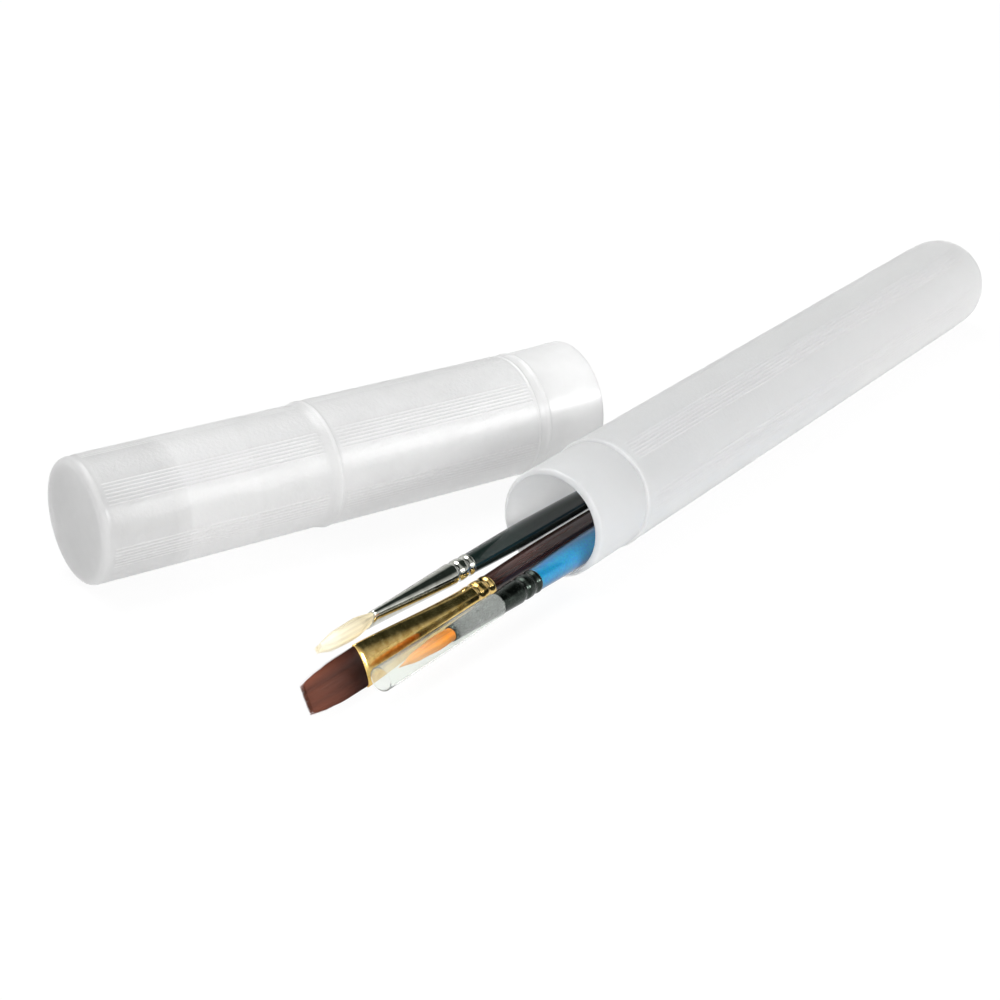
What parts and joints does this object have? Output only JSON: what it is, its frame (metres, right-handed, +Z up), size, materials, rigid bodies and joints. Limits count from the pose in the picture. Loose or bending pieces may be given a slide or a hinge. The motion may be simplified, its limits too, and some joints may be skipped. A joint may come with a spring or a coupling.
{
  "type": "artist's brush case",
  "caption": "Round two-part brush tube with a ribbed body, a smooth neck and a slip-on telescoping cap laid beside it, holding a filbert, a flat and a sleeved round long-handled brush.",
  "frame": {"origin": "middle of the footprint, on the surface that the case lies on", "axes": "+X along the tube from its mouth to its domed end, +Y towards the cap laid beside it, +Z up"},
  "size_m": [0.3529, 0.1246, 0.0348],
  "materials": {
    "frosted_polypropylene": "frosted, translucent, moulded",
    "blue_black_lacquer": "gloss lacquer",
    "nickel": "polished nickel plate",
    "epoxy": "cured glue",
    "white_bristle": "natural bristle",
    "brown_black_lacquer": "gloss lacquer",
    "gold_brass": "polished, gold coloured",
    "brown_synthetic": "fine filament",
    "blue_pearl_lacquer": "pearlescent lacquer",
    "black_nickel": "polished black nickel",
    "orange_synthetic": "fine filament",
    "clear_pvc": "clear, soft"
  },
  "bodies": {
    "tube": {"case_tube": "frosted_polypropylene"},
    "cap": {"case_cap": "frosted_polypropylene"},
    "filbert_brush": {"filbert_handle": "blue_black_lacquer", "filbert_ferrule": "nickel", "filbert_glue": "epoxy", "filbert_hair": "white_bristle"},
    "flat_brush": {"flat_handle": "brown_black_lacquer", "flat_ferrule": "gold_brass", "flat_glue": "epoxy", "flat_hair": "brown_synthetic"},
    "round_brush": {"round_handle": "blue_pearl_lacquer", "round_ferrule": "black_nickel", "round_glue": "epoxy", "round_hair": "orange_synthetic"},
    "hair_sleeve": {"round_hair_sleeve": "clear_pvc"}
  },
  "joints": [
    {"name": "cap_slide", "type": "slide", "parent": "tube", "child": "cap", "axis": [-0.9367, 0.3502, 0], "range_m": [0, 0.085]},
    {"name": "filbert_slide", "type": "slide", "parent": "tube", "child": "filbert_brush", "axis": [-0.9997, 0.0098, 0.0225], "range_m": [-0.015, 0.2]},
    {"name": "flat_slide", "type": "slide", "parent": "tube", "child": "flat_brush", "axis": [-1, 0.0014, 0.0023], "range_m": [-0.015, 0.2]},
    {"name": "round_slide", "type": "slide", "parent": "tube", "child": "round_brush", "axis": [-1, 0, 0], "range_m": [-0.015, 0.13]},
    {"name": "sleeve_slide", "type": "slide", "parent": "round_brush", "child": "hair_sleeve", "axis": [-0.9994, 0.027, -0.0218], "range_m": [0, 0.05]}
  ]
}
